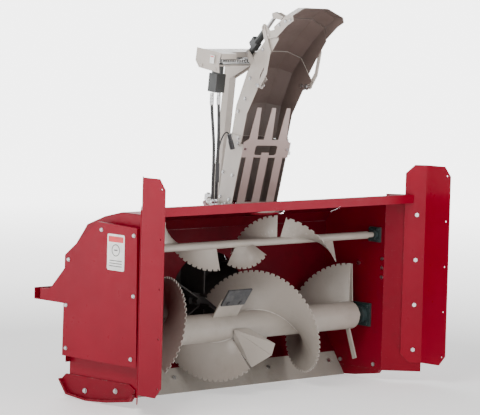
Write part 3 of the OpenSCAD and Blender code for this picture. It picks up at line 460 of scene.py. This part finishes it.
def hex_bolt(bm, origin, axis, size):
    """Washer, chamfered hexagon and a domed shank end, seated on a surface."""
    m = basis(Vector(origin) + Vector(axis).normalized() * SEAT_GAP, axis)
    disc(bm, m, [(size * 1.9, 0.0), (size * 2.05, size * 0.05), (size * 2.05, size * 0.3),
                 (size * 1.95, size * 0.36)], 20)
    base = size * 0.37
    disc(bm, m, [(size * 1.55, base), (size * 1.7, base + 0.1 * size), (size * 1.7, base + 0.9 * size),
                 (size * 1.45, base + 1.1 * size)], 6)
    disc(bm, m, [(size * 0.8, base + 1.11 * size), (size * 0.8, base + 1.3 * size),
                 (size * 0.5, base + 1.45 * size)], 12)


def bolt_group(name, body, places, size):
    """Bolts of one size at (place, outward direction) pairs."""
    def build(bm):
        for origin, axis in places:
            hex_bolt(bm, origin, axis, size)
    return piece(name, build, body, zinc)


def sweep(bm, path, radius, sides):
    """Round tube through a list of points, with closed ends; radius may be a list."""
    rings = []
    normal = None
    for i, point in enumerate(path):
        tangent = (path[min(i + 1, len(path) - 1)] - path[max(i - 1, 0)]).normalized()
        if normal is None:
            normal = tangent.orthogonal().normalized()
        normal = (normal - tangent * normal.dot(tangent)).normalized()
        side = tangent.cross(normal)
        r = radius[i] if isinstance(radius, list) else radius
        rings.append([bm.verts.new(point + r * (normal * math.cos(2 * math.pi * k / sides)
                                                + side * math.sin(2 * math.pi * k / sides)))
                      for k in range(sides)])
    for low, high in zip(rings, rings[1:]):
        for k in range(sides):
            bm.faces.new((low[k], low[(k + 1) % sides], high[(k + 1) % sides], high[k]))
    bm.faces.new(rings[0][::-1])
    bm.faces.new(rings[-1])


def smooth_path(points, steps=8):
    """Catmull-Rom curve through the points."""
    ends = [points[0] * 2 - points[1], *points, points[-1] * 2 - points[-2]]
    out = []
    for a, b, c, d in zip(ends, ends[1:], ends[2:], ends[3:]):
        for i in range(steps):
            t = i / steps
            out.append(0.5 * ((2 * b) + (c - a) * t + (2 * a - 5 * b + 4 * c - d) * t * t
                              + (3 * b - a - 3 * c + d) * t ** 3))
    out.append(points[-1])
    return out


def slab(bm, corners, thick):
    """Flat plate from its outline (list of points) and a thickness vector."""
    low = [bm.verts.new(c) for c in corners]
    high = [bm.verts.new(c + thick) for c in corners]
    count = len(corners)
    bm.faces.new(low[::-1])
    bm.faces.new(high)
    for i in range(count):
        bm.faces.new((low[i], low[(i + 1) % count], high[(i + 1) % count], high[i]))


def on_chute(x, y, z):
    """Point in the chute's own millimetres to metres in the row frame."""
    return chute_origin + (chute_x * x + chute_y * y + chute_up * z) * 0.001


# ---- roller chains

CHAIN_PITCH = 0.015875
ARC_STEPS = 200
# link plates in metres, inner link first: distance from the middle and half height
LINK_OFFSET, LINK_HALF, LINK_THICK = (0.0052, 0.0066), (0.0056, 0.0050), 0.0012
PIN = [(0.0022, 0.0), (0.0026, 0.0004), (0.0026, 0.0152), (0.0022, 0.0156)]
ROLLER = [(0.0050, 0.0), (0.0050, 0.009)]


def pitch_radius(teeth):
    return CHAIN_PITCH / (2 * math.sin(math.pi / teeth))


def chain_loop(p, rp, q, rq):
    """Points one pitch apart round two pitch circles, in the chain's own plane."""
    p, q = Vector(p), Vector(q)
    span = (q - p).length
    ang = math.atan2(q.y - p.y, q.x - p.x)
    lean = math.acos((rp - rq) / span)

    def at(c, r, a):
        return Vector((c.x + r * math.cos(a), c.y + r * math.sin(a)))

    dense = []
    for i in range(ARC_STEPS):
        dense.append(at(q, rq, ang - lean + 2 * lean * i / (ARC_STEPS - 1)))
    for i in range(ARC_STEPS):
        dense.append(at(p, rp, ang + lean + (2 * math.pi - 2 * lean) * i / (ARC_STEPS - 1)))
    dense.append(dense[0])
    lengths = [0.0]
    for a, b in zip(dense, dense[1:]):
        lengths.append(lengths[-1] + (b - a).length)
    total = lengths[-1]
    count = 2 * round(total / CHAIN_PITCH / 2)
    out, k = [], 0
    for i in range(count):
        want = total * i / count
        while lengths[k + 1] < want:
            k += 1
        t = (want - lengths[k]) / max(1e-9, lengths[k + 1] - lengths[k])
        out.append(dense[k].lerp(dense[k + 1], t))
    return out


def roller_chain(name, loops, node):
    """Side plates and rollers; each loop is (points, function from plane to row frame, plane normal)."""
    def build(bm):
        for points, place, normal in loops:
            for i, a in enumerate(points):
                b = points[(i + 1) % len(points)]
                off, half = LINK_OFFSET[i % 2], LINK_HALF[i % 2]
                along = (b - a).normalized()
                across = Vector((-along.y, along.x))
                outline = []
                for end, way in ((b, 1), (a, -1)):
                    for s in range(5):
                        ang = math.pi * (s / 4 - 0.5)
                        d = (along * math.cos(ang) + across * math.sin(ang)) * way
                        outline.append(end + d * half)
                mid = (a + b) / 2
                waist = half * 0.72
                outline.insert(5, mid + across * waist)
                outline.append(mid - across * waist)
                for side in (-1, 1):
                    base = normal * (off * side)
                    slab(bm, [place(c) + base for c in outline], normal * (LINK_THICK * side))
                for profile, sides in ((PIN, 10), (ROLLER, 12)):
                    length = profile[-1][1]
                    disc(bm, basis(place(a) - normal * (length / 2), normal), profile, sides)
    obj = piece(name, build, "frame", chain_steel)
    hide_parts(node)
    return obj


def centre(name):
    low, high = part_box(name)
    return (Vector(low) + Vector(high)) / 2


def side_place(x):
    return lambda c: Vector((x, c.x, c.y))


jack = joint_at["jackshaft_spin"]
cross = joint_at["cross_shaft_spin"]
x_axis = Vector((1.0, 0.0, 0.0))
primary_x = centre("primary_chain").x
OUTER_ROW_IN, ROW_STEP = 0.0075, 0.021
outer_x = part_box("auger_chains")[0][0] + OUTER_ROW_IN
inner_x = outer_x + ROW_STEP
roller_chain("primary_roller_chain",
             [(chain_loop((jack.y, jack.z), pitch_radius(10), (cross.y, cross.z), pitch_radius(10) * 0.999),
               side_place(primary_x), x_axis)], "primary_chain")
roller_chain("auger_roller_chains",
             [(chain_loop((auger.y, auger.z), pitch_radius(30), (jack.y, jack.z), pitch_radius(10)),
               side_place(inner_x), x_axis),
              (chain_loop((auger.y, auger.z), pitch_radius(18), (upper.y, upper.z), pitch_radius(15)),
               side_place(outer_x), x_axis)], "auger_chains")
pinion = joint_at["pinion_spin"]
ring_centre = chute_origin + chute_up * (pinion - chute_origin).dot(chute_up)
pinion_gap = (ring_centre - pinion).length
head_x = (ring_centre - pinion).normalized()
head_y = chute_up.cross(head_x)
roller_chain("chute_roller_chain",
             [(chain_loop((0.0, 0.0), pitch_radius(32), (-pinion_gap, 0.0), pitch_radius(14)),
               lambda c: ring_centre + head_x * c.x + head_y * c.y, chute_up)], "rotation_chain")


# ---- hoses and cable

def row(x, y, z):
    return Vector((x, y, z)) * 0.001


HOSE_RADIUS, CABLE_RADIUS = 0.0088, 0.0039
# the hoses' way down, in millimetres: height and distance rearward of HOSE_Y, then x of each hose
HOSE_Y = 202.0
DROP = [(1600, 1), (1560, 0), (1500, -3), (1440, -6), (1380, -8), (1320, -8), (1250, -6), (1180, -4),
        (1100, -2), (1040, -2), (985, -2)]
LEFT_X = [44, 44, 46, 50, 55, 60, 63, 65, 65, 65, 65]
RIGHT_X = [96, 96, 96, 95, 94, 93, 93, 93, 93, 93, 93]


def build_hoses(bm):
    for xs in (LEFT_X, RIGHT_X):
        path = [row(x, HOSE_Y + dy, z) for x, (z, dy) in zip(xs, DROP)]
        sweep(bm, smooth_path(path), HOSE_RADIUS, 18)


hoses = piece("hydraulic_hose_pair", build_hoses, "frame", hose_rubber)
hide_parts("hydraulic_hoses")


def build_ferrules(bm):
    for xs in (LEFT_X, RIGHT_X):
        top = row(xs[0], HOSE_Y + 1, 1599)
        disc(bm, basis(top, (0, 0, -1)),
             [(0.0100, 0.0), (0.0118, 0.002), (0.0118, 0.012), (0.0108, 0.014), (0.0118, 0.016),
              (0.0118, 0.028), (0.0108, 0.030), (0.0118, 0.032), (0.0118, 0.046), (0.0098, 0.050)], 20)
        low = row(xs[-1], HOSE_Y - 2, 986)
        disc(bm, basis(low, (0, 0, 1)),
             [(0.0100, 0.0), (0.0118, 0.002), (0.0118, 0.014), (0.0108, 0.016), (0.0118, 0.018),
              (0.0118, 0.034), (0.0098, 0.038)], 20)


piece("hose_ferrules", build_ferrules, "frame", zinc)

CABLE = [(79, -22, 1230), (76, -30, 1270), (74, -36, 1310), (80, -42, 1350), (92, -46, 1378),
         (108, -46, 1394), (124, -44, 1398), (138, -42, 1390)]
cable = piece("sensor_cable", lambda bm: sweep(
    bm, smooth_path([row(x, HOSE_Y + dy, z) for x, dy, z in CABLE]), CABLE_RADIUS, 12),
    "frame", hose_rubber)
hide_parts("control_cable")


# ---- welds

def helix(x0, a0, a1, lead, radius, offset):
    """Path round the large tube, from millimetres and degrees to metres in the row frame."""
    path = []
    count = max(8, int((a1 - a0) / 5))
    for i in range(count + 1):
        a = math.radians(a0 + (a1 - a0) * i / count)
        x = x0 + lead * math.degrees(a - math.radians(a0)) / 360 + offset
        y, z = radius * math.sin(a), radius * math.cos(a)
        path.append(Vector((x, auger.y * 1000 + y, auger.z * 1000 + z)) * 0.001)
    return path


WELD_RADIUS = 79.0
BEAD, RIPPLE = 0.0032, 0.0006


def build_flight_welds(bm):
    for x0, a0, a1, lead in (LEFT_FLIGHT, RIGHT_FLIGHT):
        for offset in (-1.5, 7.5):
            path = helix(x0, a0 + 2, a1 - 2, lead, WELD_RADIUS, offset)
            radii = [BEAD + RIPPLE * math.sin(i * 2.1) for i in range(len(path))]
            sweep(bm, path, radii, 8)


piece("flight_weld_beads", build_flight_welds, "main_auger", weld_metal)


# ---- fasteners that the frame leaves to the surface

guard_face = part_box("chain_guard")[0][0]
GUARD_BOLTS = [(-0.330, 0.915), (-0.075, 0.925), (0.185, 0.745), (0.200, 0.500), (0.195, 0.270),
               (-0.325, 0.270), (-0.335, 0.600)]
bolt_group("guard_bolts", "frame", [((guard_face, y, z), (-1, 0, 0)) for y, z in GUARD_BOLTS], 0.0055)

SKID_FACE = 0.9363
SKID_BOLTS = [(-0.158, 0.078), (0.087, 0.050)]
for side, name in ((-1, "left_skid"), (1, "right_skid")):
    bolt_group(name + "_bolts", name,
               [((side * SKID_FACE, y, z), (side, 0, 0)) for y, z in SKID_BOLTS], 0.007)


def both_chute_sides(half_width, places):
    """Bolt places on the chute's left and right wall, from its own rearward and upward millimetres."""
    return [(on_chute(side * half_width, y, z), chute_x * side) for side in (-1, 1) for y, z in places]


bolt_group("chute_side_bolts", "chute",
           both_chute_sides(156.3, [(-130, 385), (-50, 385), (-130, 416), (-50, 416)])
           + both_chute_sides(150, [(-85, 60), (10, 60), (-95, 200), (5, 200), (-90, 560), (-150, 640),
                                    (-180, 760)]), 0.0055)

STEP_THICK = 0.003
STEP_INNER = [(-150, -41, 400.6), (-75, 6.5, 407.3), (75, 6.5, 407.3), (150, -41, 400.6)]
STEP_OUTER = [(-150, 1.8, 400.2), (-75, 49.5, 404.5), (75, 49.5, 404.5), (150, 1.8, 400.2)]


def build_step(bm):
    """Ledge that closes the step between the lower and the upper chute at the back."""
    for i in range(3):
        corners = [STEP_INNER[i], STEP_INNER[i + 1], STEP_OUTER[i + 1], STEP_OUTER[i]]
        slab(bm, [on_chute(*c) for c in corners], chute_up * STEP_THICK)


piece("chute_step_plate", build_step, "chute", chute_paint)

bolt_group("lower_deflector_bolts", "lower_deflector",
           both_chute_sides(157, [(-290, 935), (-330, 985)]), 0.005)
bolt_group("upper_deflector_bolts", "upper_deflector",
           both_chute_sides(164, [(-440, 1090), (-500, 1118), (-545, 1130)]), 0.005)

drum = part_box("fan_housing")
hub_z = (drum[0][2] + drum[1][2]) / 2
bolt_circle = (drum[1][2] - drum[0][2]) / 2 - 0.022
bolt_group("drum_bolts", "frame",
           [((math.cos(a) * bolt_circle, drum[1][1], hub_z + math.sin(a) * bolt_circle), (0, 1, 0))
            for a in (math.radians(15 + 30 * i) for i in range(12))], 0.0055)


# ---- plain labels, with no wording

LABEL_THICK = 0.0004
LABEL_LIFT, PRINT_LIFT = 0.0002, 0.0005  # sheet above the metal, print above the sheet's underside


def build_label(bm, centre_point, u, v, out, w, h):
    """Thin sheet with rounded corners, w along u and h along v."""
    outline = []
    r = min(w, h) * 0.08
    for sx, sy, start in ((1, 1, 0), (-1, 1, 90), (-1, -1, 180), (1, -1, 270)):
        for k in range(5):
            a = math.radians(start + 22.5 * k)
            outline.append(centre_point + u * (sx * (w / 2 - r) + r * math.cos(a))
                           + v * (sy * (h / 2 - r) + r * math.sin(a)))
    slab(bm, outline, out * LABEL_THICK)


def label(name, body, at, u, v, w, h):
    """White sheet with a red band, a dark ring with a bar in it, and dark rules, blank of words."""
    out = u.cross(v)
    at = at + out * LABEL_LIFT
    piece(name + "_sheet", lambda bm: build_label(bm, at, u, v, out, w, h), body,
          label_white)
    band = at + v * (h * 0.36) + out * PRINT_LIFT
    piece(name + "_band", lambda bm: build_label(bm, band, u, v, out, w * 0.86, h * 0.16), body,
          label_red)

    def bar(bm, middle, half, low, high):
        slab(bm, [middle - u * half + v * low, middle + u * half + v * low,
                  middle + u * half + v * high, middle - u * half + v * high], out * LABEL_THICK)

    def symbol(bm):
        mid = at + v * (h * 0.06) + out * PRINT_LIFT
        sides = 32
        around = [u * math.cos(2 * math.pi * i / sides) + v * math.sin(2 * math.pi * i / sides)
                  for i in range(sides)]
        inner, outer = ([mid + d * (r * w) for d in around] for r in (0.20, 0.235))
        for i in range(sides):
            j = (i + 1) % sides
            slab(bm, [inner[i], outer[i], outer[j], inner[j]], out * LABEL_THICK)
        bar(bm, mid, 0.10 * w, -0.02 * w, 0.03 * w)
        for k in range(3):
            bar(bm, at - v * (h * (0.24 + 0.075 * k)) + out * PRINT_LIFT, 0.36 * w, 0.0, h * 0.022)
    piece(name + "_symbol", symbol, body, label_ink)


minus_y = Vector((0.0, -1.0, 0.0))
z_up = Vector((0.0, 0.0, 1.0))
label("guard_label", "frame", Vector((guard_face, -0.190, 0.815)), minus_y, z_up, 0.135, 0.190)

# the end plate of the drive cover, behind its bolt heads
COVER_END = Vector((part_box("drive_cover")[0][0] + 0.005, 0.170, 1.807))
MARK = [(-0.015, -0.013), (0.015, -0.013), (0.002, 0.015), (-0.002, 0.015)]
cover_out = (-chute_y).cross(chute_up)


def cover_patch(name, shift_u, shift_v, w, h, lift, material):
    at = COVER_END - chute_y * shift_u + chute_up * shift_v + cover_out * lift
    piece(name, lambda bm: build_label(bm, at, -chute_y, chute_up, cover_out, w, h), "frame",
          material)


def build_mark(bm):
    """Plain wedge in place of the photo's symbol."""
    at = COVER_END + chute_y * 0.024 + cover_out * (LABEL_LIFT + PRINT_LIFT)
    slab(bm, [at - chute_y * u + chute_up * v for u, v in MARK], cover_out * LABEL_THICK)


cover_patch("cover_label_sheet", 0.0, 0.0, 0.085, 0.046, LABEL_LIFT, label_white)
cover_patch("cover_label_band", 0.018, 0.015, 0.034, 0.006, LABEL_LIFT + PRINT_LIFT, label_red)
piece("cover_label_mark", build_mark, "frame", label_yellow)


# ---------------------------------------------------------------- stage and light

FLOOR_HALF = 220.0
GLOW_FROM, GLOW_TO = (2.5, 0.55), (12.0, 4.5)  # distance from the object and glow, near and far
SKY_LOW, SKY_HIGH = (0.02, 2.6), (0.16, 0.50)  # height over the horizon and strength

floor_mesh = bpy.data.meshes.new("floor")
bm = bmesh.new()
bmesh.ops.create_grid(bm, x_segments=1, y_segments=1, size=FLOOR_HALF)
bm.to_mesh(floor_mesh)
bm.free()
floor = bpy.data.objects.new("floor", floor_mesh)
bpy.context.scene.collection.objects.link(floor)
fl = Nodes("floor_paper")
fl.bump(fl.noise(80.0), 0.02, 0.0005)
far = fl.add("ShaderNodeVectorMath", operation="LENGTH")
fl.link(fl.coord, far.inputs[0])
glow = fl.ramp(far.outputs["Value"], GLOW_FROM[0], GLOW_TO[0], GLOW_FROM[1], GLOW_TO[1])
fl.link(glow, fl.bsdf.inputs["Emission Strength"])
fl.bsdf.inputs["Emission Color"].default_value = (1.0, 1.0, 1.0, 1.0)
floor_mesh.materials.append(fl.finish(
    fl.mix(fl.ramp(fl.noise(0.4), 0.3, 0.7), (0.86, 0.86, 0.855), (0.89, 0.89, 0.885)),
    fl.ramp(fl.noise(3.0), 0.3, 0.7, 0.55, 0.62)))

world = bpy.data.worlds.new("studio")
bpy.context.scene.world = world
world.use_nodes = True
tree = world.node_tree
backdrop = tree.nodes["Background"]
backdrop.inputs["Color"].default_value = (1.0, 1.0, 1.0, 1.0)
sky = tree.nodes.new("ShaderNodeTexCoord")
sky_split = tree.nodes.new("ShaderNodeSeparateXYZ")
sky_ramp = tree.nodes.new("ShaderNodeMapRange")
for key, number in (("From Min", SKY_LOW[0]), ("From Max", SKY_HIGH[0]), ("To Min", SKY_LOW[1]),
                    ("To Max", SKY_HIGH[1])):
    sky_ramp.inputs[key].default_value = number
tree.links.new(sky.outputs["Generated"], sky_split.inputs[0])
tree.links.new(sky_split.outputs["Z"], sky_ramp.inputs["Value"])
tree.links.new(sky_ramp.outputs[0], backdrop.inputs["Strength"])


def area(name, at, look, size, power, color):
    """Soft rectangular light at a place, aimed at a point."""
    data = bpy.data.lights.new(name, "AREA")
    data.shape = "RECTANGLE"
    data.size, data.size_y = size
    data.energy = power
    data.color = color
    lamp = bpy.data.objects.new(name, data)
    bpy.context.scene.collection.objects.link(lamp)
    direction = Vector(look) - Vector(at)
    lamp.rotation_euler = direction.to_track_quat("-Z", "Y").to_euler()
    lamp.location = at


WHITE, WARM = (1.0, 1.0, 1.0), (1.0, 0.98, 0.95)
area("key", (-4.5, -2.0, 4.6), (0.0, 0.0, 0.9), (3.0, 2.4), 260.0, WARM)
area("front", (0.5, -6.0, 3.2), (0.2, 0.0, 0.8), (4.0, 2.0), 120.0, WHITE)
area("back", (3.0, 5.0, 4.0), (0.2, 0.0, 1.2), (4.0, 2.5), 140.0, WHITE)
